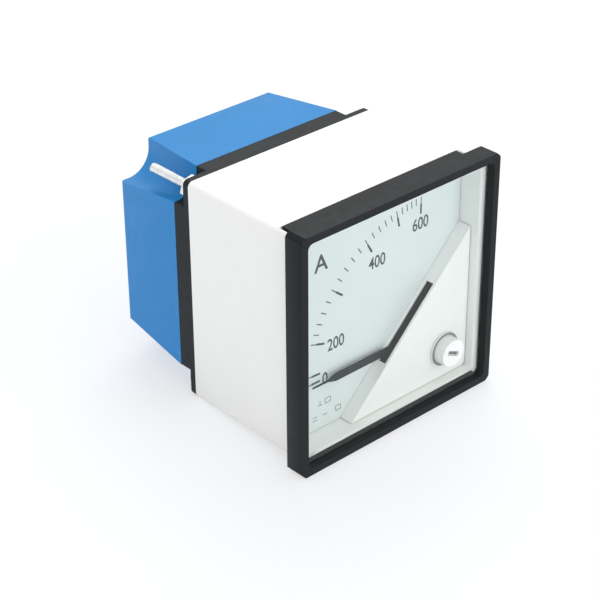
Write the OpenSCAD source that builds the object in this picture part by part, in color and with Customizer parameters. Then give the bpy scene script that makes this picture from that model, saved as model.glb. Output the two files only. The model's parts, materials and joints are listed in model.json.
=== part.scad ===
// Square panel meter with a quadrant scale, for a 45 mm panel cut-out.
// X runs to the right and Z up as seen from the front. Y runs from the front to the back.
// The origin is the centre of the cut-out, in the plane where the bezel meets the panel.

/* [Bezel] */
// Side of the square front frame
bezel_side = 48; // [47:0.5:54]
// Depth of the frame in front of the panel
bezel_depth = 4.1; // [3.6:0.1:6]
// Width of the visible frame round the window
bezel_frame_w = 1.9; // [1.8:0.1:2.2]
// How far the frame stands out beyond the case on each side
bezel_overhang = 1.6; // [1.2:0.1:3]
// Depth from the front of the frame to the window
bezel_lip = 1.9; // [1.2:0.1:2.2]
// Corner radius of the frame
bezel_corner_r = 0.8; // [0.3:0.1:1.2]
// Distance from the end of a snap tongue to the side of the case
tongue_edge = 1.4; // [1.4:0.1:8]
// How far a snap tongue reaches behind the panel seat
tongue_reach = 4; // [2:0.5:8]
// Thickness of a snap tongue
tongue_t = 0.7; // [0.5:0.1:0.8]

/* [Case] */
// Depth of the case behind the panel seat
case_depth = 27.1; // [26:0.5:40]
// Wall of the case
case_wall = 1.4; // [1.2:0.1:1.8]
// Radius of the long edges of the case
case_corner_r = 2; // [1:0.25:3]

/* [Window] */
// Thickness of the window pane
pane_t = 1; // [0.8:0.1:1.2]

/* [Dial] */
// Distance from the back of the pane to the dial
dial_drop = 3.6; // [3.6:0.1:4.4]
// Thickness of the dial plate
dial_t = 0.5; // [0.3:0.1:0.8]
// Height of the dial cover above the dial
cover_h = 3; // [2.9:0.1:3.1]
// Wall of the dial cover
cover_t = 0.5; // [0.4:0.05:0.6]
// Distance from the pointer's axis to the cover's slotted wall
cover_reach = 6.65; // [6.5:0.05:7.5]
// Length of the pointer's slot
slot_l = 17; // [17:0.5:20]
// Height of the pointer's slot
slot_h = 1.7; // [1.4:0.1:1.8]

/* [Pointer] */
// Distance from the pointer's axis to the case's right and lower inner walls
pivot_edge = 10.3; // [10.2:0.1:10.7]
// Distance from the pointer's tip to the case's left inner wall at zero
tip_edge = 4.4; // [3.9:0.1:7]
// Width of the pointer's bar
bar_w = 2.1; // [1.4:0.1:2.4]
// Width of the pointer's needle tip
needle_w = 0.55; // [0.4:0.05:0.8]
// Thickness of the pointer
pointer_t = 0.2; // [0.15:0.05:0.3]
// Radius of the brass counterweight
weight_r = 1.4; // [1:0.1:1.5]

/* [Movement] */
// Radius of the staff
staff_r = 0.35; // [0.3:0.05:0.4]
// Radius of the coil bobbin's flanges
bobbin_r = 9.5; // [8:0.1:9.6]
// Length of the coil bobbin
bobbin_l = 11; // [10:0.5:14]
// Inner radius of the coil bobbin
bobbin_bore_r = 4.6; // [4.4:0.1:5]
// Radius of the jewel screws
jewel_r = 0.8; // [0.7:0.05:1]
// Radial play of a turning or sliding fit
running_gap = 0.05; // [0.02:0.01:0.08]

/* [Zero adjuster] */
// Distance from the adjuster's axis to the case's right and lower inner walls
adjuster_edge = 6.3; // [6:0.1:6.5]
// Radius of the adjuster's head
adjuster_r = 2.8; // [2.4:0.1:3]
// Throw of the adjuster's eccentric pin
eccentric = 1.1; // [0.8:0.1:1.3]

/* [Base] */
// Thickness of the base frame's plate
base_t = 1.4; // [1.2:0.1:2]
// Height of the base frame's raised rim
rim_h = 2.65; // [2:0.05:4]
// Size of the corners cut back from the rim and the housing
corner_cut = 5.4; // [5:0.1:6]
// Distance of the corner studs from the case's sides
stud_edge = 2.8; // [2.6:0.1:3.1]
// Radius of the clamp studs
stud_r = 1; // [0.8:0.05:1.1]
// Free length of a clamp stud behind the base plate
stud_free = 11.7; // [8:0.1:16]

/* [Rear housing] */
// Depth of the rear housing behind the rim
housing_depth = 16.95; // [14:0.05:30]
// Draft of the housing, as the loss of half its side over its depth
housing_taper = 1; // [0.4:0.1:1.4]
// Draft of the corner notches over the housing's depth
notch_taper = 2.5; // [1:0.1:3]
// Inner radius of the corner notches
notch_r = 5; // [3:0.25:5.2]
// Wall of the housing
housing_wall = 1.5; // [1.2:0.1:2]

/* [Terminals] */
// Distance between the two terminal studs
terminal_pitch = 18; // [16:0.5:20]
// Radius of the terminal studs
terminal_r = 2; // [1.5:0.25:2]
// Radius of the recess round a terminal
recess_r = 5.4; // [5:0.1:6]
// Depth of the recess round a terminal
recess_depth = 4; // [3:0.5:6]

/* [Hidden] */
$fn = 48;
eps = 0.01;          // overrun that makes a cut clean
fit = 0.1;           // clearance between fixed parts
screw_gap = 0.1;     // radial clearance of a screw in its hole

// --- depths, measured from the panel seat ---
front = -bezel_depth;
pane_front = front + bezel_lip;
pane_back = pane_front + pane_t;
dial_front = pane_back + dial_drop;
dial_back = dial_front + dial_t;
cover_front = dial_front - cover_h;
cover_inside = cover_front + cover_t;
slot_front = cover_inside + 0.1;
blade_mid = slot_front + slot_h / 2 + 0.05;
bridge_t = 0.7;
bridge_front = dial_front - bridge_t;
lever_t = 0.3;
lever_back = bridge_front - fit;
lever_front = lever_back - lever_t;
hub_front = dial_back + 1.5;
bobbin_front = hub_front + 2.2;
plate_front = bobbin_front + bobbin_l;
plate_t = 2;
plate_back = plate_front + plate_t;
base_back = case_depth + base_t;
rim_back = base_back + rim_h;
housing_back = rim_back + housing_depth;
recess_floor = housing_back - recess_depth;

// --- half sides ---
case_half = bezel_side / 2 - bezel_overhang;
case_inner = case_half - case_wall;
opening_half = bezel_side / 2 - bezel_frame_w;
cover_half = case_inner - 0.15;
dial_half = case_inner - fit;
snap_r = 0.3;        // rib under the end of each tongue
snap_back = 0.8;     // from the tongue's end to the rib's axis
rim_notch = case_half - corner_cut;
rim_w = 1.6;
tongue_w = 2 * (case_half - tongue_edge);
pivot_off = case_inner - pivot_edge;                    // right of the centre, and below it
adjuster_off = case_inner - adjuster_edge;
stud_off = case_half - stud_edge;
pointer_len = case_inner + pivot_off - tip_edge;
cover_line = 2 * pivot_off - cover_reach * sqrt(2);     // x - z along the cover's slotted wall

// --- fasteners ---
post_side = 3.7;
thread_depth = 7;
nut_h = 1.6;
m2_nut_r = 4 / 2 / cos(30);
m4_nut_r = 7 / 2 / cos(30);
m4_nut_h = 3.2;
m4_head_h = 2.8;
washer_t = 0.8;
washer_r = 4.5;
pillar_r = 1.1;
pillar_off = bobbin_r + pillar_r + 0.2;
frame_screw_r = 0.8;
frame_screw_head_r = 1.6;
frame_screw_off = bobbin_r + frame_screw_head_r + 0.3;
frame_screw_hold = 4;   // thread of a movement screw in its post
bridge_screw_hold = 4;  // thread of a bridge screw in its pillar
housing_screw_edge = 5.4;
housing_screw_off = case_half - housing_screw_edge;
housing_screw_r = 1.25;
housing_screw_head_r = 2.2;
adjuster_reach = (adjuster_off - pivot_off) * sqrt(2);  // from the pointer's axis to the adjuster's
lever_pin_r = 0.5;
tail_l = 4.4;           // from the pointer's axis to its counterweight's
rivet_r = 0.4;
collet_r = 0.9;
bobbin_flange_t = 0.8;
bobbin_tube_r = bobbin_bore_r + 0.8;
iron_front = bobbin_front + 1.8;
iron_back = plate_front - 1.6;
bridge_screw_r = 0.5;
housing_boss_r = 2.4;

// --- placing ---
// Extrudes an outline drawn as seen from the front between two depths
module slab(y0, y1) {
    translate([0, y1, 0]) rotate([90, 0, 0]) linear_extrude(y1 - y0) children();
}

// Round bar along Y between two depths
module bar(y0, y1, r) {
    translate([0, y0, 0]) rotate([-90, 0, 0]) cylinder(h = y1 - y0, r = r);
}

// Moves to the pointer's axis
module at_pivot() {
    translate([pivot_off, 0, -pivot_off]) children();
}

// Moves out from the pointer's axis by a distance, at an angle seen from the front
module around_pivot(distance, angle) {
    at_pivot() translate([distance * cos(angle), 0, distance * sin(angle)]) children();
}

module at_adjuster() {
    translate([adjuster_off, 0, -adjuster_off]) children();
}

// The two corners that carry clamp studs, upper left and lower right
module stud_corners() {
    for (s = [-1, 1]) translate([s * stud_off, 0, -s * stud_off]) children();
}

// The two corners that carry case screws, lower left and upper right
module screw_corners() {
    for (s = [-1, 1]) translate([s * stud_off, 0, s * stud_off]) children();
}

module terminal_places() {
    for (s = [-1, 1]) translate([s * terminal_pitch / 2, 0, 0]) children();
}

module housing_screw_places() {
    for (s = [-1, 1]) translate([0, 0, s * housing_screw_off]) children();
}

// --- outlines ---
module rounded_square(half, r) {
    square([2 * half, 2 * (half - r)], center = true);
    square([2 * (half - r), 2 * half], center = true);
    for (x = [-1, 1], y = [-1, 1]) translate([x * (half - r), y * (half - r)]) circle(r);
}

// Square with its four corners cut back
module cross_outline(half, notch) {
    square([2 * half, 2 * notch], center = true);
    square([2 * notch, 2 * half], center = true);
}

// Corner triangle of the dial cover, moved in by the wall
module cover_outline(inset) {
    h = cover_half - inset;
    c = cover_line + inset * sqrt(2);
    r = 1.2 - inset;
    difference() {
        polygon([[c - h, -h], [h, -h], [h, h - c]]);
        translate([h - r, -h - eps]) square([r + eps, r + eps]);
    }
    translate([h - r, -h + r]) circle(r);
}

// Part of a tube's outline between two angles
module arc_band(r0, r1, from, to) {
    steps = 16;
    polygon(concat(
        [for (i = [0:steps]) let (a = from + (to - from) * i / steps) [r1 * cos(a), r1 * sin(a)]],
        [for (i = [steps:-1:0]) let (a = from + (to - from) * i / steps) [r0 * cos(a), r0 * sin(a)]]
    ));
}

// --- front ---
module bezel_frame() {
    color("#3d4042") {
        difference() {
            slab(front, 0) rounded_square(bezel_side / 2, bezel_corner_r);
            slab(front - 1, pane_front + eps) rounded_square(opening_half, 0.5);
            slab(pane_front, 1) rounded_square(case_half + running_gap, 0.5);
        }
        for (s = [0, 180]) rotate([0, s, 0]) tongue();
    }
}

// Snap tongue on the upper side, with its root in the frame and a snap rib under its end
module tongue() {
    root_h = bezel_side / 2 - 0.5;
    root_y = pane_back + fit;
    tongue_z = case_half - tongue_t;
    translate([-tongue_w / 2, root_y, tongue_z]) cube([tongue_w, tongue_reach - root_y, tongue_t]);
    translate([-tongue_w / 2, root_y, tongue_z]) cube([tongue_w, -root_y, root_h - tongue_z]);
    translate([-tongue_w / 2, tongue_reach - snap_back, tongue_z])
        rotate([0, 90, 0]) cylinder(h = tongue_w, r = snap_r);
}

module window_pane() {
    color("#e8f2f0", 0.35) difference() {
        slab(pane_front, pane_back) rounded_square(case_half, 0.5);
        at_adjuster() bar(pane_front - 1, pane_back + 1, adjuster_r + running_gap);
    }
}

module case_shell() {
    post_mid = case_inner - post_side / 2;
    color("#f0f0ee") difference() {
        union() {
            difference() {
                slab(pane_back, case_depth) rounded_square(case_half, case_corner_r);
                slab(pane_back - 1, case_depth + 1) rounded_square(case_inner, case_corner_r - case_wall);
            }
            // corner posts, which carry the dial and take the studs and screws
            for (x = [-1, 1], z = [-1, 1]) translate([x * post_mid, 0, z * post_mid])
                slab(dial_back, case_depth) square(post_side + 2 * fit, center = true);
        }
        for (s = [-1, 1], t = [-1, 1]) translate([s * stud_off, 0, t * stud_off])
            bar(case_depth - thread_depth - 1, case_depth + 1, stud_r + running_gap);
        // recesses for the bezel's tongues, with a groove that holds the snap rib
        for (s = [0, 180]) rotate([0, s, 0]) {
            translate([-tongue_w / 2 - fit, pane_back - 1, case_half - tongue_t - running_gap])
                cube([tongue_w + 2 * fit, tongue_reach + fit - pane_back + 1, tongue_t + 1]);
            translate([-tongue_w / 2 - fit, tongue_reach - snap_back, case_half - tongue_t])
                rotate([0, 90, 0]) cylinder(h = tongue_w + 2 * fit, r = snap_r + running_gap);
        }
    }
}

// --- dial ---
module dial_plate() {
    color("#dfe9e7") difference() {
        slab(dial_front, dial_back) rounded_square(dial_half, 0.5);
        at_pivot() bar(dial_front - 1, dial_back + 1, cover_reach - 0.25);
        for (a = [45, 225]) around_pivot(pillar_off, a)
            bar(dial_front - 1, dial_back + 1, bridge_screw_r + screw_gap);
    }
}

module dial_cover() {
    color("#eceeed") difference() {
        slab(cover_front, dial_front) cover_outline(0);
        slab(cover_inside, dial_front + 1) cover_outline(cover_t);
        // the pointer's slot through the slanting wall
        at_pivot() rotate([0, 45, 0])
            translate([-cover_reach - 1, slot_front, -slot_l / 2])
                cube([cover_t + 2, slot_h, slot_l]);
        at_adjuster() bar(cover_front - 1, cover_inside + 1, eccentric + lever_pin_r + 0.4);
    }
}

// --- zero setting ---
module zero_adjuster() {
    head_front = pane_front - 0.4;
    flange_front = pane_back + running_gap;
    flange_t = 0.45;
    flange_r = adjuster_r + 0.6;
    driver_l = 3;
    driver_w = 0.9;
    driver_depth = 0.6;
    driver_turn = 23;
    color("#f4f5f4") at_adjuster() {
        difference() {
            bar(head_front, flange_front + eps, adjuster_r);
            rotate([0, driver_turn, 0]) translate([-driver_l / 2, head_front - 1, -driver_w / 2])
                cube([driver_l, 1 + driver_depth, driver_w]);
        }
        bar(flange_front, flange_front + flange_t, flange_r);
        translate([eccentric / sqrt(2), 0, -eccentric / sqrt(2)])
            bar(flange_front + flange_t - eps, lever_back + fit / 2, lever_pin_r);
    }
}

module zero_lever() {
    fork_r = adjuster_reach + eccentric;
    slot_w = 2 * (lever_pin_r + 0.12);
    ring_r = jewel_r + 1.1;
    fork_w = 2.8;
    spring_r = 3.3;
    color("#c9a44c") at_pivot() rotate([0, 45, 0]) {
        difference() {
            union() {
                bar(lever_front, lever_back, ring_r);
                translate([0, lever_front, -fork_w / 2]) cube([fork_r + 1.2, lever_t, fork_w]);
            }
            bar(lever_front - 1, lever_back + 1, jewel_r + running_gap);
            translate([fork_r - 1.4, lever_front - 1, -slot_w / 2]) cube([4, lever_t + 2, slot_w]);
        }
        // prong that holds the hairspring's outer end
        translate([spring_r, lever_front, -0.4]) cube([0.5, hub_front - 0.5 - lever_front, 0.8]);
    }
}

// --- moving system, drawn with the pointer at zero, level and to the left ---
module pointer() {
    crank_in = cover_reach - 2.2;
    crank_out = cover_reach - 1.3;
    blade_front = blade_mid - pointer_t / 2;
    blade_back = blade_mid + pointer_t / 2;
    hub_back = hub_front + pointer_t;
    hub_r = 1.5;
    root_w = 1.4;
    tail_w = 1.2;
    taper_r = pointer_len - 5.6;
    taper_l = 2;
    side = weight_r + 1;
    color("#23282b") at_pivot() {
        difference() {
            intersection() {
                // side view, with the crank that lifts the blade through the dial
                translate([0, 0, -side]) linear_extrude(2 * side) polygon([
                    [tail_l + weight_r, hub_back], [tail_l + weight_r, hub_front], [-crank_in, hub_front],
                    [-crank_out, blade_front], [-pointer_len, blade_front], [-pointer_len, blade_back],
                    [-crank_out - pointer_t * 0.8, blade_back], [-crank_in - pointer_t * 0.8, hub_back]
                ]);
                // plan view
                slab(front - 1, bobbin_front) union() {
                    circle(hub_r);
                    translate([tail_l, 0]) circle(weight_r);
                    translate([0, -tail_w / 2]) square([tail_l, tail_w]);
                    polygon([
                        [0, root_w / 2], [-crank_in, bar_w / 2], [-taper_r, bar_w / 2],
                        [-taper_r - taper_l, needle_w / 2],
                        [-pointer_len, needle_w / 2 - 0.1], [-pointer_len, -needle_w / 2 + 0.1],
                        [-taper_r - taper_l, -needle_w / 2],
                        [-taper_r, -bar_w / 2], [-crank_in, -bar_w / 2], [0, -root_w / 2]
                    ]);
                }
            }
            bar(hub_front - 1, hub_back + 1, staff_r + eps);
            translate([tail_l, 0, 0]) bar(hub_front - 1, hub_back + 1, rivet_r + eps);
        }
    }
}

module counterweight() {
    color("#c9a44c") at_pivot() translate([tail_l, 0, 0]) {
        bar(hub_front + pointer_t, bobbin_front - 0.3, weight_r);
        bar(hub_front - 0.2, hub_front + pointer_t + eps, rivet_r);
    }
}

module staff() {
    color("#b9bdc1") at_pivot() {
        bar(dial_back + 0.05, plate_front + 0.05, staff_r);
        // collet for the hairspring
        bar(hub_front - 0.9, hub_front, collet_r);
        // collar that carries the moving iron
        bar(iron_front - 0.8, iron_front, collet_r);
    }
}

// Flat spiral from the staff's collet to the zero lever's prong
module hairspring() {
    turns = 3.875;
    r_in = 1.05;
    r_out = 3.17;
    strip = 0.12;
    steps = 93;
    function r_at(i) = r_in + (r_out - r_in) * i / steps;
    function a_at(i) = -45 - 360 * turns + 360 * turns * i / steps;
    color("#b06a3a") at_pivot() slab(hub_front - 0.8, hub_front - 0.5) polygon(concat(
        [for (i = [0:steps]) (r_at(i) + strip / 2) * [cos(a_at(i)), sin(a_at(i))]],
        [for (i = [steps:-1:0]) (r_at(i) - strip / 2) * [cos(a_at(i)), sin(a_at(i))]]
    ));
}

module moving_iron() {
    arm_t = 0.4;
    vane_t = 0.3;
    vane_r = bobbin_bore_r - 0.95;
    color("#8b9095") at_pivot() difference() {
        union() {
            slab(iron_front, iron_back) arc_band(vane_r - vane_t, vane_r, 190, 260);
            for (y = [iron_front, iron_back - arm_t]) {
                bar(y, y + arm_t, collet_r);
                slab(y, y + arm_t) arc_band(0.2, vane_r - 0.1, 212, 238);
            }
        }
        bar(iron_front - 1, iron_back + 1, staff_r + eps);
    }
}

module fixed_iron() {
    sheet_t = 0.35;
    slant = 34;
    color("#7d8287") at_pivot() difference() {
        slab(iron_front, iron_back) arc_band(bobbin_bore_r - sheet_t, bobbin_bore_r - eps, 150, 300);
        // the tongue narrows towards its far end
        rotate([0, -90, 0]) translate([-1, iron_front, 0]) rotate([slant, 0, 0])
            translate([-8, -8, -1]) cube([16, 8, 12]);
    }
}

module coil_bobbin() {
    color("#1d5f86") at_pivot() difference() {
        union() {
            bar(bobbin_front, plate_front, bobbin_tube_r);
            bar(bobbin_front, bobbin_front + bobbin_flange_t, bobbin_r);
            bar(plate_front - bobbin_flange_t, plate_front, bobbin_r);
        }
        bar(bobbin_front - 1, plate_front + 1, bobbin_bore_r);
    }
}

module coil_winding() {
    color("#b5652c") at_pivot() difference() {
        bar(bobbin_front + bobbin_flange_t + eps, plate_front - bobbin_flange_t - eps, bobbin_r - 0.8);
        bar(bobbin_front, plate_front, bobbin_tube_r + eps);
    }
}

// --- movement frame ---
module front_bridge() {
    w = 3;
    color("#c4c7ca") difference() {
        at_pivot() rotate([0, -45, 0]) {
            translate([-pillar_off, bridge_front, -w / 2]) cube([2 * pillar_off, bridge_t, w]);
            for (s = [-1, 1]) translate([s * pillar_off, 0, 0]) bar(bridge_front, dial_front, w / 2);
            bar(bridge_front, dial_front, jewel_r + 1.2);
        }
        at_pivot() bar(bridge_front - 1, dial_front + 1, jewel_r + eps);
        for (a = [45, 225]) around_pivot(pillar_off, a)
            bar(bridge_front - 1, dial_front + 1, bridge_screw_r + screw_gap);
    }
}

module bridge_pillars() {
    color("#c9a44c") for (a = [45, 225]) around_pivot(pillar_off, a) difference() {
        bar(dial_back, plate_front, pillar_r);
        bar(dial_back - 1, dial_back + bridge_screw_hold + 1, bridge_screw_r + running_gap);
    }
}

module bridge_screws() {
    head_h = 0.8;
    color("#b9bdc1") for (a = [45, 225]) around_pivot(pillar_off, a) difference() {
        union() {
            bar(bridge_front - head_h, bridge_front, 1.1);
            bar(bridge_front - eps, dial_back + bridge_screw_hold, bridge_screw_r);
        }
        translate([-1.5, bridge_front - head_h - 1, -0.15]) cube([3, 1.3, 0.3]);
    }
}

module jewel_screw(y0, y1, cup_at_back) {
    cup = 0.5;
    difference() {
        bar(y0, y1, jewel_r);
        translate([0, cup_at_back ? y1 - cup : y0 - eps, 0]) bar(0, cup + eps, staff_r + running_gap);
        translate([-1.5, cup_at_back ? y0 - 1 : y1 - 0.4, -0.15]) cube([3, 1.4, 0.3]);
    }
}

module front_jewel_screw() {
    color("#b9bdc1") at_pivot() jewel_screw(cover_inside + 0.6, dial_back + 0.4, true);
}

module jewel_nut() {
    color("#c9a44c") at_pivot() difference() {
        slab(lever_front - fit - 0.5, lever_front - fit) circle(1.6, $fn = 6);
        bar(lever_front - 1, lever_front, jewel_r + eps);
    }
}

module rear_jewel_screw() {
    color("#b9bdc1") at_pivot() jewel_screw(plate_front - 0.35, plate_back + 1, false);
}

module movement_frame() {
    arm_w = 4.4;
    color("#2c2f31") difference() {
        at_pivot() slab(plate_front, plate_back) union() {
            circle(bobbin_r);
            for (a = [45, 225]) rotate(a) {
                translate([0, -arm_w / 2]) square([pillar_off, arm_w]);
                translate([pillar_off, 0]) circle(arm_w / 2);
            }
            for (a = [90, 180]) rotate(a) {
                translate([0, -arm_w / 2]) square([frame_screw_off, arm_w]);
                translate([frame_screw_off, 0]) circle(arm_w / 2);
            }
        }
        at_pivot() bar(plate_front - 1, plate_back + 1, jewel_r + eps);
        for (a = [90, 180]) around_pivot(frame_screw_off, a)
            bar(plate_front - 1, plate_back + 1, frame_screw_r + screw_gap);
    }
}

module movement_screws() {
    head_h = 1.1;
    color("#b9bdc1") for (a = [90, 180]) around_pivot(frame_screw_off, a) difference() {
        union() {
            bar(plate_front - head_h, plate_front, frame_screw_head_r);
            bar(plate_front - eps, plate_back + frame_screw_hold, frame_screw_r);
        }
        translate([-2, plate_front - head_h - 1, -0.2]) cube([4, 1.5, 0.4]);
    }
}

// --- base ---
module base_frame() {
    post_r = 2.3;
    spigot_t = 1.2;
    spigot_h = 1.5;
    spigot_l = 2 * (case_inner - post_side - 1);
    lead_way = 8;
    color("#3a3d3f") difference() {
        union() {
            slab(case_depth, base_back) rounded_square(case_half, case_corner_r);
            // raised rim that the housing sits on
            difference() {
                slab(base_back - eps, rim_back) cross_outline(case_half, rim_notch);
                slab(base_back, rim_back + 1) cross_outline(case_half - rim_w, rim_notch - rim_w);
            }
            // ribs that centre the case
            for (a = [0:90:270]) rotate([0, a, 0])
                translate([-spigot_l / 2, case_depth - spigot_h, case_inner - fit - spigot_t])
                    cube([spigot_l, spigot_h + eps, spigot_t]);
            for (a = [90, 180]) around_pivot(frame_screw_off, a)
                bar(plate_back, case_depth + eps, post_r);
            housing_screw_places() bar(base_back - eps, rim_back, housing_boss_r);
        }
        for (a = [90, 180]) around_pivot(frame_screw_off, a)
            bar(plate_back - 1, plate_back + frame_screw_hold + 1, frame_screw_r + running_gap);
        housing_screw_places() bar(case_depth - 2, rim_back + 1, housing_screw_r + running_gap);
        stud_corners() bar(case_depth - 1, base_back + 1, stud_r + screw_gap);
        screw_corners() bar(case_depth - 1, base_back + 1, stud_r + screw_gap);
        // way through for the coil leads
        slab(case_depth - 2, base_back + 1) square([terminal_pitch + 6, lead_way], center = true);
    }
}

module case_screws() {
    head_h = 1.3;
    color("#c9ccd0") screw_corners() difference() {
        union() {
            bar(base_back, base_back + head_h, 1.9);
            bar(case_depth - thread_depth, base_back + eps, stud_r);
        }
        for (a = [0, 90]) rotate([0, a, 0]) translate([-1.1, base_back + 0.5, -0.2]) cube([2.2, 1, 0.4]);
    }
}

module clamp_studs() {
    color("#d4d7da") stud_corners() bar(case_depth - thread_depth, base_back + stud_free, stud_r);
}

module clamp_nuts() {
    color("#e3e5e7") stud_corners() difference() {
        slab(base_back, base_back + nut_h) rotate(15) circle(m2_nut_r, $fn = 6);
        bar(base_back - 1, base_back + nut_h + 1, stud_r + eps);
    }
}

// --- rear housing ---
// Solid with the housing's draft, moved in by the wall
module drafted_block(inset, y0, y1, edge) {
    half0 = case_half - inset;
    half1 = case_half - housing_taper - inset;
    hull() {
        slab(y0, y0 + eps) square(2 * half0, center = true);
        slab(y1 - edge - eps, y1 - edge) square(2 * half1, center = true);
        slab(y1 - eps, y1) square(2 * (half1 - edge), center = true);
    }
}

// The four rounded corner notches, leaning inwards towards the back
module corner_notches(wall) {
    lean = atan(notch_taper * sqrt(2) / housing_depth);
    reach = 14;
    r = notch_r + wall;
    for (a = [0:90:270]) rotate([0, a, 0])
        translate([rim_notch - wall, rim_back, rim_notch - wall]) rotate([0, -45, 0]) rotate([0, 0, lean])
            rotate([0, 45, 0]) slab(-8, housing_depth + 8) {
                translate([r, 0]) square([reach, reach]);
                translate([0, r]) square([reach, reach]);
                translate([r, r]) circle(r);
            }
}

module rear_housing() {
    cup_r = recess_r + housing_wall;
    color("#4a8fd6") difference() {
        union() {
            difference() {
                drafted_block(0, rim_back, housing_back, 0.5);
                difference() {
                    drafted_block(housing_wall, rim_back - 1, housing_back - housing_wall, 0.5);
                    corner_notches(housing_wall);
                }
                corner_notches(0);
            }
            // cups behind the terminal recesses, and the screw bosses
            terminal_places() bar(recess_floor - housing_wall, housing_back - eps, cup_r);
            housing_screw_places() bar(rim_back, housing_back - eps, housing_boss_r);
        }
        terminal_places() {
            bar(recess_floor, housing_back + 1, recess_r);
            bar(recess_floor - housing_wall - 1, recess_floor + 1, terminal_r + screw_gap);
        }
        housing_screw_places() {
            bar(rim_back - 1, housing_back + 1, housing_screw_r + screw_gap);
            bar(housing_back - 2, housing_back + 1, housing_screw_head_r + screw_gap);
        }
    }
}

module housing_screws() {
    head_h = 1.8;
    head_back = housing_back - 2 + head_h;
    color("#c9ccd0") housing_screw_places() difference() {
        union() {
            bar(housing_back - 2, head_back, housing_screw_head_r);
            bar(case_depth, housing_back - 2 + eps, housing_screw_r);
        }
        for (a = [0, 90]) rotate([0, a, 0]) translate([-1.3, head_back - 0.8, -0.25]) cube([2.6, 1, 0.5]);
    }
}

// --- terminals ---
module terminal_studs() {
    inner = recess_floor - housing_wall;
    color("#c9a44c") terminal_places() {
        slab(inner - m4_head_h, inner) circle(m4_nut_r, $fn = 6);
        bar(inner - eps, housing_back + 6.9, terminal_r);
    }
}

// Depths of the fixed washer and nut, and of the pair that clamps the wire
function terminal_stack(i) = recess_floor + i * (washer_t + m4_nut_h);

module terminal_washers() {
    color("#d8dadd") terminal_places() for (i = [0, 1]) difference() {
        bar(terminal_stack(i), terminal_stack(i) + washer_t, washer_r);
        bar(terminal_stack(i) - 1, terminal_stack(i) + washer_t + 1, terminal_r + screw_gap);
    }
}

module terminal_nuts() {
    color("#c9a44c") terminal_places() for (i = [0, 1]) difference() {
        slab(terminal_stack(i) + washer_t, terminal_stack(i + 1)) circle(m4_nut_r, $fn = 6);
        bar(terminal_stack(i), terminal_stack(i + 1) + 1, terminal_r + eps);
    }
}

// Straight stretch of a square lead between two points that differ along one axis
module lead_run(from, to, w) {
    low = [for (i = [0:2]) min(from[i], to[i]) - w / 2];
    high = [for (i = [0:2]) max(from[i], to[i]) + w / 2];
    translate(low) cube(high - low);
}

// Leads from the two ends of the winding back to the terminal studs
module coil_leads() {
    lead_w = 0.7;
    start_r = bobbin_r - 0.8;
    out_r = bobbin_r + lead_w / 2 + 0.35;
    tap = plate_front - 2;
    turn = case_depth - 1.5;
    head_front = recess_floor - housing_wall - m4_head_h - lead_w / 2;
    color("#8f2f2a") for (s = [-1, 1]) {
        a = 135 - s * 10;
        x = pivot_off + out_r * cos(a);
        z = -pivot_off + out_r * sin(a);
        at_pivot() rotate([0, -a, 0]) translate([start_r + eps, tap - lead_w / 2, -lead_w / 2])
            cube([out_r - start_r, lead_w, lead_w]);
        lead_run([x, tap, z], [x, turn, z], lead_w);
        lead_run([x, turn, z], [x, turn, 0], lead_w);
        lead_run([x, turn + s * lead_w, 0], [x, turn, 0], lead_w);
        end = s * terminal_pitch / 2;
        lead_run([x, turn + s * lead_w, 0], [end, turn + s * lead_w, 0], lead_w);
        lead_run([end, turn + s * lead_w, 0], [end, head_front, 0], lead_w);
    }
}

bezel_frame();
window_pane();
case_shell();
dial_plate();
dial_cover();
zero_adjuster();
zero_lever();
pointer();
counterweight();
staff();
hairspring();
moving_iron();
fixed_iron();
coil_bobbin();
coil_winding();
front_bridge();
bridge_pillars();
bridge_screws();
front_jewel_screw();
jewel_nut();
rear_jewel_screw();
movement_frame();
movement_screws();
base_frame();
case_screws();
clamp_studs();
clamp_nuts();
rear_housing();
housing_screws();
terminal_studs();
terminal_washers();
terminal_nuts();
coil_leads();
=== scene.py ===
"""Looks of a square panel meter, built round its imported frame: X right, Y to the back and Z up."""

import json
from math import atan2, cos, pi, radians, sin

import bmesh
import bpy
from mathutils import Matrix, Vector


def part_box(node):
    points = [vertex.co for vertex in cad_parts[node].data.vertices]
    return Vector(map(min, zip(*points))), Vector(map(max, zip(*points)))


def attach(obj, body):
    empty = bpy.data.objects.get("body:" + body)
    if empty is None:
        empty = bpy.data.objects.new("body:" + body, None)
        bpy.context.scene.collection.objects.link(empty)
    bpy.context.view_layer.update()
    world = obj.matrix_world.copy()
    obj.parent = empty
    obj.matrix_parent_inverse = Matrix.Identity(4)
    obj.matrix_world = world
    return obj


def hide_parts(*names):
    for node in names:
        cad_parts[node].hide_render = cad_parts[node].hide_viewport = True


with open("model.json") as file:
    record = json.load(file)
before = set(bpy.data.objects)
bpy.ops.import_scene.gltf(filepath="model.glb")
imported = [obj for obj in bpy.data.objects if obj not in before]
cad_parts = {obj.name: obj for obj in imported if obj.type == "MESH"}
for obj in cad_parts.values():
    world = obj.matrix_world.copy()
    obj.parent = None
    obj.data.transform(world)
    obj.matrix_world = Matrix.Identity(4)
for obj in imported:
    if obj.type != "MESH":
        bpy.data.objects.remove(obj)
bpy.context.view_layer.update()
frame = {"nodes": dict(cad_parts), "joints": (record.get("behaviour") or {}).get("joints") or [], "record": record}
MM = 0.001


# --- places taken from the frame ---
def joint_place(name):
    """Where a joint's axis passes."""
    place = next(j for j in frame["joints"] if j["name"] == name)["pos_m"]
    return Vector(place)


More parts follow.
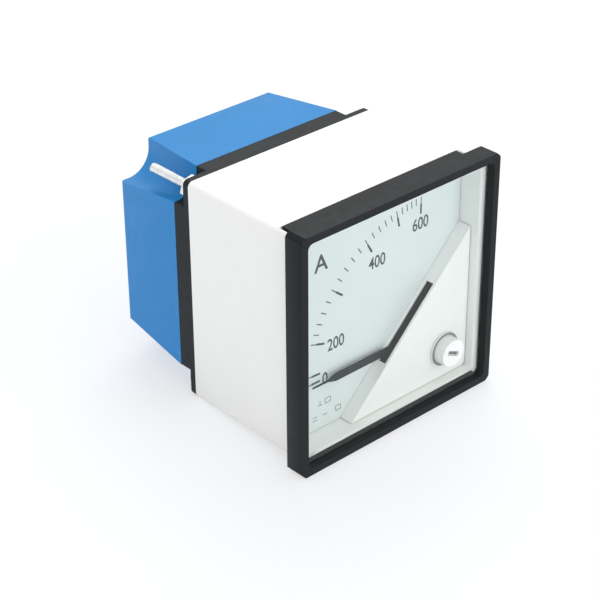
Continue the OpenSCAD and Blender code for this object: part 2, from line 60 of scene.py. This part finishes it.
PIVOT = joint_place("pointer_swing")
DIAL_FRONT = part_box("dial_plate")[0].y
BEZEL_LOW, BEZEL_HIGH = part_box("bezel_frame")
PANE_FRONT, PANE_BACK = (corner.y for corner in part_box("window_pane"))
CASE_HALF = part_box("base_frame")[1].x
BEZEL_CORNER, CASE_CORNER = 0.8 * MM, 2 * MM    # radii of the solids' long edges
CASE_EDGE_R = 1.1 * MM                          # and the photographed one of the case and base
WINDOW_SHIFT = 1.05 * MM                        # from the solid pane to the photographed one
BODY = "meter_body"


# --- materials ---
class Nodes:
    """Short ways to add shader nodes to one material."""

    def __init__(self, name):
        self.material = bpy.data.materials.new(name)
        self.material.use_nodes = True
        self.tree = self.material.node_tree
        self.tree.nodes.clear()
        self.output = self.tree.nodes.new("ShaderNodeOutputMaterial")

    def add(self, kind, **settings):
        made = self.tree.nodes.new("ShaderNode" + kind)
        for key, value in settings.items():
            setattr(made, key, value)
        return made

    def link(self, source, target):
        self.tree.links.new(source, target)

    def place(self, stretch=(1, 1, 1)):
        """The point on the surface in the row's frame, stretched along its axes."""
        mapping = self.add("Mapping")
        mapping.inputs["Scale"].default_value = stretch
        self.link(self.add("TexCoord").outputs["Object"], mapping.inputs["Vector"])
        return mapping.outputs["Vector"]

    def noise(self, size, detail=3.0, stretch=(1, 1, 1)):
        """Noise whose patches are about size metres wide."""
        made = self.add("TexNoise")
        made.inputs["Scale"].default_value = 1 / size
        made.inputs["Detail"].default_value = detail
        self.link(self.place(stretch), made.inputs["Vector"])
        return made.outputs["Fac"]

    def spread(self, value, low, high):
        """Takes the middle of a 0 to 1 signal to a range of numbers."""
        made = self.add("MapRange")
        for key, number in zip(("From Min", "From Max", "To Min", "To Max"), (0.3, 0.7, low, high)):
            made.inputs[key].default_value = number
        self.link(value, made.inputs["Value"])
        return made.outputs["Result"]

    def blend(self, factor, first, second):
        made = self.add("Mix", data_type="RGBA")
        color_inputs = [s for s in made.inputs if s.type == "RGBA"]
        for socket, color in zip(color_inputs, (first, second)):
            if isinstance(color, bpy.types.NodeSocket):
                self.link(color, socket)
            else:
                socket.default_value = (*color, 1)
        self.link(factor, made.inputs["Factor"])
        return next(s for s in made.outputs if s.type == "RGBA")

    def bump(self, height, distance):
        made = self.add("Bump")
        made.inputs["Distance"].default_value = distance
        made.inputs["Strength"].default_value = 1
        self.link(height, made.inputs["Height"])
        return made.outputs["Normal"]

    def shine(self, **levels):
        """The Principled shader, with levels set on its own sockets."""
        made = self.add("BsdfPrincipled")
        for key, value in levels.items():
            socket = made.inputs[key.replace("_", " ")]
            if isinstance(value, bpy.types.NodeSocket):
                self.link(value, socket)
            elif socket.type == "RGBA" and len(value) == 3:
                socket.default_value = (*value, 1)
            else:
                socket.default_value = value
        return made.outputs["BSDF"]

    def done(self, shader):
        self.link(shader, self.output.inputs["Surface"])
        return self.material


def tint(color, share):
    """A colour made lighter or darker by a share."""
    return tuple(min(1.0, c * (1 + share)) for c in color)


def moulded(name, color, roughness, variation=0.05, grain=0.25 * MM, depth=0.004 * MM, **levels):
    """Moulded plastic: slight clouding, a fine spark-eroded grain and uneven gloss."""
    n = Nodes(name)
    shade = n.blend(n.spread(n.noise(9 * MM), 0, 1), tint(color, -variation), tint(color, variation))
    gloss = n.spread(n.noise(2 * MM), roughness - 0.05, roughness + 0.05)
    normal = n.bump(n.noise(grain, 2), depth)
    return n.done(n.shine(Base_Color=shade, Roughness=gloss, Normal=normal, **levels))


def turned_metal(name, color, roughness, grain=0.12 * MM):
    """Metal with fine marks across its turning axis, which runs along Y."""
    n = Nodes(name)
    shade = n.blend(n.spread(n.noise(1.5 * MM), 0, 1), tint(color, -0.12), tint(color, 0.06))
    marks = n.noise(grain, 2, stretch=(0.25, 4, 0.25))
    gloss = n.spread(marks, roughness - 0.06, roughness + 0.08)
    normal = n.bump(marks, 0.002 * MM)
    return n.done(n.shine(Base_Color=shade, Metallic=1.0, Roughness=gloss, Normal=normal))


def bezel_plastic():
    return moulded("bezel_plastic", (0.013, 0.0155, 0.017), 0.42, Specular_IOR_Level=0.13)


def case_plastic():
    return moulded("case_plastic", (0.885, 0.88, 0.86), 0.45, variation=0.008, Specular_IOR_Level=0.35)


def cover_plastic():
    return moulded("cover_plastic", (0.90, 0.895, 0.885), 0.5, variation=0.01, Specular_IOR_Level=0.35)


def adjuster_plastic():
    return moulded("adjuster_plastic", (0.86, 0.87, 0.86), 0.28, variation=0.01)


def housing_plastic():
    return moulded("housing_plastic", (0.010, 0.215, 0.55), 0.4, variation=0.03, Specular_IOR_Level=0.25)


def base_plastic():
    return moulded("base_plastic", (0.017, 0.021, 0.0235), 0.45, Specular_IOR_Level=0.13)


def frame_plastic():
    return moulded("frame_plastic", (0.02, 0.021, 0.023), 0.4)


def bobbin_plastic():
    return moulded("bobbin_plastic", (0.02, 0.12, 0.22), 0.4)


def lead_sleeve():
    return moulded("lead_sleeve", (0.35, 0.05, 0.04), 0.5)


def dial_paint():
    """Very pale grey-green matt paint on sheet."""
    return moulded("dial_paint", (0.74, 0.79, 0.79), 0.55, variation=0.012, grain=0.15 * MM, depth=0.001 * MM)


def ink(name, color):
    return moulded(name, color, 0.55, variation=0.15)


def pointer_lacquer():
    return moulded("pointer_lacquer", (0.009, 0.012, 0.014), 0.4, variation=0.1, depth=0.001 * MM,
                   Specular_IOR_Level=0.2)


def adjuster_gap():
    """Painted shade: a mid grey laid on the bottom of the adjuster's driver slot and on what is seen in the gap
    round its head.
    """
    return moulded("adjuster_gap", (0.22, 0.225, 0.225), 0.5)


def bright_zinc():
    return turned_metal("bright_zinc", (0.94, 0.945, 0.95), 0.3)


def steel():
    return turned_metal("steel", (0.60, 0.61, 0.62), 0.3)


def soft_iron():
    return turned_metal("soft_iron", (0.36, 0.37, 0.38), 0.42, grain=0.3 * MM)


def brass():
    return turned_metal("brass", (0.80, 0.62, 0.30), 0.26)


def spring_bronze():
    return turned_metal("spring_bronze", (0.62, 0.38, 0.20), 0.3)


def winding_copper():
    """Layers of enamelled wire round the coil, one turn every wire width."""
    wire = 0.22 * MM
    n = Nodes("winding_copper")
    turns = n.add("TexWave", wave_type="BANDS", bands_direction="Y", wave_profile="SIN")
    turns.inputs["Scale"].default_value = pi / (10 * wire)
    turns.inputs["Distortion"].default_value = 0.4
    turns.inputs["Detail"].default_value = 1
    n.link(n.place(), turns.inputs["Vector"])
    # Painted shade: the colour darkens to a deep brown in the grooves between turns, along the same bands as the
    # bump.
    shade = n.blend(turns.outputs["Fac"], (0.20, 0.06, 0.02), (0.60, 0.24, 0.09))
    gloss = n.spread(n.noise(0.6 * MM), 0.22, 0.4)
    normal = n.bump(turns.outputs["Fac"], 0.08 * MM)
    return n.done(n.shine(Base_Color=shade, Metallic=0.8, Roughness=gloss, Normal=normal))


def window_glass():
    """Clear pane: it lets everything through but mirrors a little, more so at a slant."""
    n = Nodes("window_glass")
    clear = n.add("BsdfTransparent")
    clear.inputs["Color"].default_value = (0.97, 0.985, 0.98, 1)
    gloss = n.spread(n.noise(3 * MM), 0.02, 0.05)
    mirror = n.shine(Base_Color=(0.9, 0.95, 0.94), Roughness=gloss, Metallic=1.0)
    fresnel = n.add("Fresnel")
    fresnel.inputs["IOR"].default_value = 1.5
    facing = n.add("Math", operation="SUBTRACT")
    facing.inputs[0].default_value = 1
    n.link(n.add("NewGeometry").outputs["Backfacing"], facing.inputs[1])
    share = n.add("Math", operation="MULTIPLY")
    n.link(fresnel.outputs["Fac"], share.inputs[0])
    n.link(facing.outputs["Value"], share.inputs[1])
    mix = n.add("MixShader")
    n.link(share.outputs["Value"], mix.inputs[0])
    n.link(clear.outputs["BSDF"], mix.inputs[1])
    n.link(mirror, mix.inputs[2])
    return n.done(mix.outputs["Shader"])


# --- helpers for pieces ---
def new_piece(name, mesh, material, body=BODY):
    piece = bpy.data.objects.new(name, mesh)
    bpy.context.collection.objects.link(piece)
    mesh.materials.clear()
    mesh.materials.append(material)
    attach(piece, body)
    return piece


def body_of(node):
    bodies = frame["record"]["behaviour"]["bodies"]
    return next(body for body, nodes in bodies.items() if node in nodes)


def clean_copy(node):
    """The node's mesh, welded, with its flat faces whole again."""
    mesh = frame["nodes"][node].data.copy()
    bm = bmesh.new()
    bm.from_mesh(mesh)
    bmesh.ops.remove_doubles(bm, verts=bm.verts, dist=0.0005 * MM)
    bmesh.ops.dissolve_limit(bm, angle_limit=radians(0.5), verts=bm.verts, edges=bm.edges)
    bm.to_mesh(mesh)
    bm.free()
    return mesh


def rounded(node, name, material, width):
    """A copy of a node with its sharp edges rounded by the mould, which stands for the node."""
    sharp = radians(32)
    piece = new_piece(name, clean_copy(node), material, body_of(node))
    bevel = piece.modifiers.new("edges", "BEVEL")
    bevel.width = width
    bevel.segments = 3
    bevel.limit_method = "ANGLE"
    bevel.angle_limit = sharp
    bevel.harden_normals = True
    bevel.miter_outer = "MITER_ARC"
    for face in piece.data.polygons:
        face.use_smooth = True
    piece.data.set_sharp_from_angle(angle=sharp)
    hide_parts(node)
    return piece


def dress(node, material):
    """Gives a CAD node's own object its finish."""
    materials = frame["nodes"][node].data.materials
    materials.clear()
    materials.append(material)


# --- printing on the dial ---
INK_T = 0.015 * MM
INK_BACK = DIAL_FRONT + 0.002 * MM


def scale_angle(value):
    """Angle of a reading, in radians clockwise from zero: a moving-iron scale, cramped at both ends."""
    full, rise, lag, close = 600, 2.27, 0.49, 0.84
    u = value / full
    return radians(90) * u**rise / (u**rise + lag * (1 - u) ** close)


def on_dial(radius, angle):
    """X and Z of a point on the dial, at an angle clockwise from the pointer's zero."""
    return Vector((PIVOT.x - radius * cos(angle), PIVOT.z + radius * sin(angle)))


def strip(bm, start, stop, width):
    """Closed flat bar on the dial between two points, in X and Z."""
    along = (stop - start).normalized()
    side = Vector((-along.y, along.x)) * width / 2
    corners = [start - side, stop - side, stop + side, start + side]
    back = [bm.verts.new((c.x, INK_BACK, c.y)) for c in corners]
    top = [bm.verts.new((c.x, INK_BACK - INK_T, c.y)) for c in corners]
    bm.faces.new(back)
    bm.faces.new(reversed(top))
    for i in range(4):
        bm.faces.new([back[i], top[i], top[(i + 1) % 4], back[(i + 1) % 4]])


def mesh_from(name, fill):
    """A mesh whose faces a function draws."""
    bm = bmesh.new()
    fill(bm)
    bmesh.ops.recalc_face_normals(bm, faces=bm.faces)
    mesh = bpy.data.meshes.new(name)
    bm.to_mesh(mesh)
    bm.free()
    return mesh


def scale_marks(material):
    """Long marks each 100, with a thick inner half, and short ones each 20 from 200 up."""
    inner, middle, outer = 24.6 * MM, 26.6 * MM, 28 * MM

    def fill(bm):
        for value in range(0, 601, 20):
            angle = scale_angle(value)
            if value % 100 == 0:
                strip(bm, on_dial(inner, angle), on_dial(middle, angle), 0.42 * MM)
            if value % 100 == 0 or value > 200:
                strip(bm, on_dial(middle, angle), on_dial(outer, angle), 0.2 * MM)

    new_piece("scale_marks", mesh_from("scale_marks", fill), material)


def text_mesh(text, height, condensed=1.0):
    """Flat lettering, centred, with its width multiplied by condensed."""
    stroke_gain = 0.012
    curve = bpy.data.curves.new(text, "FONT")
    curve.body = text
    curve.extrude = INK_T / 2
    curve.offset = stroke_gain
    curve.align_x = "CENTER"
    holder = bpy.data.objects.new(text, curve)
    bpy.context.collection.objects.link(holder)
    bpy.context.view_layer.update()
    mesh = bpy.data.meshes.new_from_object(holder.evaluated_get(bpy.context.evaluated_depsgraph_get()))
    bpy.data.objects.remove(holder)
    low = Vector(map(min, zip(*(v.co for v in mesh.vertices))))
    high = Vector(map(max, zip(*(v.co for v in mesh.vertices))))
    size = height / (high.y - low.y)
    mesh.transform(Matrix.Translation(-(low + high) / 2))
    mesh.transform(Matrix.Diagonal((size * condensed, size, INK_T / (high.z - low.z), 1)))
    mesh.transform(Matrix.Rotation(radians(90), 4, "X"))
    return mesh, size * condensed * (high.x - low.x)


def print_text(name, text, height, place, material):
    """Lettering on the dial, centred on a place given in X and Z."""
    mesh, _ = text_mesh(text, height)
    mesh.transform(Matrix.Translation((place.x, INK_BACK - INK_T / 2, place.y)))
    new_piece(name, mesh, material)


def scale_number(value, material):
    """A number inside its long mark, set so that its outer edge clears the mark."""
    height, edge = 2.5 * MM, 24.0 * MM
    mesh, width = text_mesh(str(value), height, 0.8)
    angle = scale_angle(value)
    place = on_dial(edge - width / 2 * cos(angle) - height / 2 * sin(angle), angle)
    mesh.transform(Matrix.Translation((place.x, INK_BACK - INK_T / 2, place.y)))
    new_piece(f"scale_number_{value}", mesh, material)


def small_signs(material):
    """Generic signs low on the dial: a base line with an upright, two small frames and a dash."""
    line = 0.14 * MM

    def frame_sign(bm, low, size):
        low, high = Vector(low) * MM, (Vector(low) + Vector(size)) * MM
        corners = [low, Vector((high.x, low.y)), high, Vector((low.x, high.y))]
        for i in range(4):
            strip(bm, corners[i], corners[(i + 1) % 4], line)

    def fill(bm):
        frame_sign(bm, (-12.6, -16.1), (1.3, 1.0))
        strip(bm, Vector((-14.4, -16.0)) * MM, Vector((-13.3, -16.0)) * MM, line)
        strip(bm, Vector((-13.85, -16.0)) * MM, Vector((-13.85, -15.1)) * MM, line)
        frame_sign(bm, (-10.0, -18.9), (1.2, 1.0))
        strip(bm, Vector((-13.1, -18.4)) * MM, Vector((-12.1, -18.4)) * MM, line)
        strip(bm, Vector((-15.6, -18.8)) * MM, Vector((-14.6, -18.8)) * MM, line)
        strip(bm, Vector((-15.6, -18.1)) * MM, Vector((-14.6, -18.1)) * MM, line)

    new_piece("small_signs", mesh_from("small_signs", fill), material)


# --- turned and moulded pieces ---
def threaded_rod(bm, centre, start, stop, radius, pitch):
    """Rod along Y with a V thread, closed at both ends; centre is its X and Z."""
    around, per_turn, end_depth = 24, 6, 0.3
    depth = 0.6 * pitch
    steps = int((stop - start) / pitch * per_turn)
    rings = []
    for i in range(steps + 1):
        y = start + (stop - start) * i / steps
        ring = []
        for k in range(around):
            phase = (y / pitch - k / around) % 1
            r = radius - depth * abs(2 * phase - 1) * (end_depth if i in (0, steps) else 1)
            angle = 2 * pi * k / around
            ring.append(bm.verts.new((centre[0] + r * cos(angle), y, centre[1] + r * sin(angle))))
        rings.append(ring)
    for low_ring, high_ring in zip(rings, rings[1:]):
        for k in range(around):
            n = (k + 1) % around
            bm.faces.new((low_ring[k], low_ring[n], high_ring[n], high_ring[k]))
    bm.faces.new(rings[0])
    bm.faces.new(reversed(rings[-1]))


def threaded_studs(material):
    """The two clamp studs with their M2 threads."""
    low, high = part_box("clamp_studs")
    solid_r, radius, pitch = 1 * MM, 0.99 * MM, 0.4 * MM
    off = high.x - solid_r

    def fill(bm):
        for side in (-1, 1):
            threaded_rod(bm, (side * off, -side * off), low.y, high.y, radius, pitch)

    piece = new_piece("threaded_studs", mesh_from("threaded_studs", fill), material)
    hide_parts("clamp_studs")


def threaded_terminals(material):
    """The two terminal studs: M4 threads behind hexagonal heads."""
    low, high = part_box("terminal_studs")
    radius, pitch, head_h = 1.98 * MM, 0.7 * MM, 2.8 * MM
    head_r = (high.z - low.z) / (2 * sin(radians(60)))
    off = high.x - head_r

    def fill(bm):
        for side in (-1, 1):
            threaded_rod(bm, (side * off, 0), low.y + head_h, high.y, radius, pitch)
            corners = [(side * off + head_r * cos(k * pi / 3), head_r * sin(k * pi / 3)) for k in range(6)]
            rings = [[bm.verts.new((x, y, z)) for x, z in corners] for y in (low.y, low.y + head_h)]
            bm.faces.new(rings[0])
            bm.faces.new(reversed(rings[1]))
            for k in range(6):
                n = (k + 1) % 6
                bm.faces.new((rings[0][k], rings[1][k], rings[1][n], rings[0][n]))

    piece = new_piece("threaded_terminals", mesh_from("threaded_terminals", fill), material)
    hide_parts("terminal_studs")


def adjuster_head(material, painted_shade_material):
    """The zero adjuster, with painted shade in grey on the faces that face the front deeper than its head's front:
    the bottom of the driver slot and the faces seen round the head through the pane.
    """
    head_shift, skin = 0.75 * MM, 0.3 * MM
    piece = rounded("zero_adjuster", "adjuster", material, 0.12 * MM)
    moved_to_front(piece, head_shift, PANE_BACK)
    piece.data.materials.append(painted_shade_material)
    head_front = min(v.co.y for v in piece.data.vertices)
    # Painted shade: front-facing faces more than a skin's depth behind the head's front take the grey.
    for face in piece.data.polygons:
        if face.normal.y < -0.5 and face.center.y > head_front + skin:
            face.material_index = 1


def moved_to_front(piece, shift, behind):
    """Brings what lies in front of a depth nearer to the front, as the photographed window sits."""
    for v in piece.data.vertices:
        if v.co.y < behind:
            v.co.y -= shift


def corner_radius(piece, half, built, wanted):
    """Gives the outer long edges of a square piece the photographed radius instead of the solid's."""
    start, near = half - built, 0.05 * MM
    for v in piece.data.vertices:
        out = Vector((abs(v.co.x) - start, abs(v.co.z) - start))
        if min(out) > 0.001 * MM and abs(out.length - built) < near:
            corner = out.normalized() * wanted + Vector((half - wanted, half - wanted))
            v.co.x = corner.x if v.co.x > 0 else -corner.x
            v.co.z = corner.y if v.co.z > 0 else -corner.y


def slim_pointer(material):
    """The pointer, with its blade as slender and as close to the dial as in the photograph."""
    deeper, slimmer = 0.45 * MM, 0.78
    piece = rounded("pointer", "pointer_blade", material, 0.03 * MM)
    for v in piece.data.vertices:
        if v.co.y < DIAL_FRONT:
            v.co.y += deeper
            v.co.z = PIVOT.z + (v.co.z - PIVOT.z) * slimmer


def shade_behind_slot(material):
    """Painted shade: a strip in the pointer's black lacquer on the dial behind the cover's slot, standing for the
    shade in the opening there.
    """
    cover_wall = 6.65 * MM
    inner, outer, reach = cover_wall - 3.6 * MM, cover_wall - 0.7 * MM, 8.6 * MM
    across, along = Vector((-1, 1)).normalized(), Vector((1, 1)).normalized()
    centre = Vector((PIVOT.x, PIVOT.z)) + across * (inner + outer) / 2

    def fill(bm):
        strip(bm, centre - along * reach, centre + along * reach, outer - inner)

    new_piece("slot_shade", mesh_from("slot_shade", fill), material)


def shape_opening(piece):
    """The frame's opening as moulded: drafted, round in its corners, and with the window near the front."""
    frame_width, solid_r, draft = 1.9 * MM, 0.5 * MM, 0.45 * MM
    front_r, window_r = 1.1 * MM, 0.7 * MM
    level, near = 0.01 * MM, 0.05 * MM
    half = BEZEL_HIGH.x - frame_width
    start = half - solid_r
    for v in piece.data.vertices:
        at_front = abs(v.co.y - BEZEL_LOW.y) < level
        at_window = abs(v.co.y - PANE_FRONT) < level
        if at_window:
            v.co.y -= WINDOW_SHIFT
        if (at_front or at_window) and max(abs(v.co.x), abs(v.co.z)) < half + near:
            wide = half + (draft if at_front else 0)
            corner_r = front_r if at_front else window_r
            out = Vector((abs(v.co.x) - start, abs(v.co.z) - start))
            if min(out) > -0.001 * MM and out.length > 0.1 * MM:
                place = out.normalized() * corner_r + Vector((wide - corner_r, wide - corner_r))
                v.co.x = place.x if v.co.x > 0 else -place.x
                v.co.z = place.y if v.co.z > 0 else -place.y


def bezel_piece(material):
    """The black front frame."""
    piece = rounded("bezel_frame", "bezel", material, 0.28 * MM)
    shape_opening(piece)
    corner_radius(piece, BEZEL_HIGH.x, BEZEL_CORNER, 1.3 * MM)


def case_piece(material):
    """The white case, whose rim sits close behind the frame's opening."""
    piece = rounded("case_shell", "case", material, 0.12 * MM)
    corner_radius(piece, CASE_HALF, CASE_CORNER, CASE_EDGE_R)
    moved_to_front(piece, WINDOW_SHIFT, PANE_BACK + 0.01 * MM)


def base_piece(material):
    """The dark frame behind the case."""
    corner_radius(rounded("base_frame", "base", material, 0.12 * MM), CASE_HALF, CASE_CORNER, CASE_EDGE_R)


def window_piece(material):
    """The pane, whole, as near the front as in the photograph."""
    moved_to_front(rounded("window_pane", "window", material, 0.02 * MM), WINDOW_SHIFT, 1)


# --- stage ---
def seen_directly(tree):
    """1 for what is seen, also in a reflection or through the pane, and 0 for what only gives light."""
    path = tree.nodes.new("ShaderNodeLightPath")
    seen = path.outputs["Is Camera Ray"]
    for ray in ("Is Glossy Ray", "Is Transmission Ray"):
        either = tree.nodes.new("ShaderNodeMath")
        either.operation = "MAXIMUM"
        tree.links.new(seen, either.inputs[0])
        tree.links.new(path.outputs[ray], either.inputs[1])
        seen = either.outputs["Value"]
    return seen


def floor_paint():
    """Matt pale floor, brightened where it is seen, as under studio light."""
    n = Nodes("floor")
    lift = n.add("Math", operation="MULTIPLY")
    lift.inputs[1].default_value = 0.6
    n.link(seen_directly(n.tree), lift.inputs[0])
    plain = n.shine(Base_Color=(0.84, 0.87, 0.92), Roughness=0.9, Specular_IOR_Level=0.0)
    bright = n.add("Emission")
    mix = n.add("MixShader")
    n.link(lift.outputs["Value"], mix.inputs[0])
    n.link(plain, mix.inputs[1])
    n.link(bright.outputs["Emission"], mix.inputs[2])
    return n.done(mix.outputs["Shader"])


def sloping_floor():
    """The floor under the meter, which tips back on its bezel's rear edge, at Y = 0, and on its rim."""
    rim_low, rim_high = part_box("base_frame")
    slope = atan2(rim_low.z - BEZEL_LOW.z, rim_high.y)
    size = 3.0
    bm = bmesh.new()
    bmesh.ops.create_grid(bm, x_segments=1, y_segments=1, size=size / 2)
    mesh = bpy.data.meshes.new("floor")
    bm.to_mesh(mesh)
    bm.free()
    mesh.materials.append(floor_paint())
    floor = bpy.data.objects.new("floor", mesh)
    bpy.context.collection.objects.link(floor)
    floor.location = (0, 0, BEZEL_LOW.z)
    floor.rotation_euler = (slope, 0, 0)


def studio_world():
    """An even white world, which looks plain white where it is seen."""
    world = bpy.data.worlds.new("studio")
    bpy.context.scene.world = world
    world.use_nodes = True
    tree = world.node_tree
    tree.nodes.clear()
    output = tree.nodes.new("ShaderNodeOutputWorld")
    light = tree.nodes.new("ShaderNodeBackground")
    light.inputs["Color"].default_value = (1.0, 0.995, 0.985, 1)
    light.inputs["Strength"].default_value = 0.94
    shown = tree.nodes.new("ShaderNodeBackground")
    shown.inputs["Strength"].default_value = 1.0
    mix = tree.nodes.new("ShaderNodeMixShader")
    tree.links.new(seen_directly(tree), mix.inputs[0])
    tree.links.new(light.outputs["Background"], mix.inputs[1])
    tree.links.new(shown.outputs["Background"], mix.inputs[2])
    tree.links.new(mix.outputs["Shader"], output.inputs["Surface"])


def softbox(name, place, aim, size, power):
    """A square lamp at a place, aimed at a point: metres and watts."""
    light = bpy.data.lights.new(name, "AREA")
    light.shape = "SQUARE"
    light.size = size
    light.energy = power
    lamp = bpy.data.objects.new(name, light)
    bpy.context.collection.objects.link(lamp)
    lamp.location = place
    lamp.rotation_mode = "QUATERNION"
    lamp.rotation_quaternion = (aim - Vector(place)).to_track_quat("-Z", "Y")


def camera():
    """Camera to the front left of the meter and above it, as fitted to the photograph's straight edges."""
    azimuth, elevation, roll = radians(-42.292), radians(30.673), radians(-0.332)
    focal_mm, distance, shift_left, shift_up = 110.56, 0.32535, 0.018085, 0.002815
    back = Vector((sin(azimuth) * cos(elevation), -cos(azimuth) * cos(elevation), sin(elevation)))
    right = Vector((cos(azimuth), sin(azimuth), 0))
    up = right.cross(back) * -1
    right, up = right * cos(roll) + up * sin(roll), up * cos(roll) - right * sin(roll)
    front_centre = Vector((0, BEZEL_LOW.y, 0))
    data = bpy.data.cameras.new("camera")
    data.sensor_width = 36
    data.lens = focal_mm
    data.clip_start, data.clip_end = 0.01, 10
    view = bpy.data.objects.new("camera", data)
    bpy.context.collection.objects.link(view)
    flat_right = Vector((cos(azimuth), sin(azimuth), 0))
    flat_up = back.cross(flat_right)
    place = front_centre + back * distance - flat_right * shift_left + flat_up * shift_up
    axes = Matrix((right, up, back)).transposed()
    view.matrix_world = Matrix.Translation(place) @ axes.to_4x4()
    bpy.context.scene.camera = view


# --- the meter and its stage ---
bpy.context.scene.view_settings.view_transform = "Standard"
camera()
sloping_floor()
studio_world()
softbox("key", place=(0.30, 0.30, 0.55), aim=Vector((0, 0.02, 0)), size=0.45, power=1.8)
softbox("front", place=(0.10, -0.75, 0.30), aim=Vector((0, 0, 0)), size=0.5, power=1.4)

bezel_piece(bezel_plastic())
case_piece(case_plastic())
rounded("rear_housing", "housing", housing_plastic(), 0.3 * MM)
base_piece(base_plastic())
window_piece(window_glass())
dress("dial_plate", dial_paint())
rounded("dial_cover", "cover", cover_plastic(), 0.12 * MM)
adjuster_head(adjuster_plastic(), adjuster_gap())
lacquer = pointer_lacquer()
slim_pointer(lacquer)

steel_finish, brass_finish, iron_finish, zinc_finish = steel(), brass(), soft_iron(), bright_zinc()
for node in ("staff", "bridge_screws", "front_jewel_screw", "rear_jewel_screw", "movement_screws",
             "case_screws", "housing_screws", "front_bridge"):
    dress(node, steel_finish)
threaded_terminals(brass_finish)
for node in ("zero_lever", "counterweight", "bridge_pillars", "jewel_nut", "terminal_nuts"):
    dress(node, brass_finish)
for node in ("moving_iron", "fixed_iron"):
    dress(node, iron_finish)
dress("terminal_washers", zinc_finish)
rounded("clamp_nuts", "clamp_nuts_rounded", zinc_finish, 0.1 * MM)
threaded_studs(zinc_finish)
dress("hairspring", spring_bronze())
dress("coil_bobbin", bobbin_plastic())
dress("coil_winding", winding_copper())
dress("movement_frame", frame_plastic())
dress("coil_leads", lead_sleeve())

dark_ink = ink("dark_ink", (0.045, 0.05, 0.052))
scale_marks(dark_ink)
# painted shade behind the cover's slot, in the pointer's lacquer
shade_behind_slot(lacquer)
for value in (0, 200, 400, 600):
    scale_number(value, dark_ink)
small_signs(ink("grey_ink", (0.12, 0.125, 0.13)))
print_text("unit_letter", "A", 3.3 * MM, Vector((-13.6, 13.2)) * MM, dark_ink)
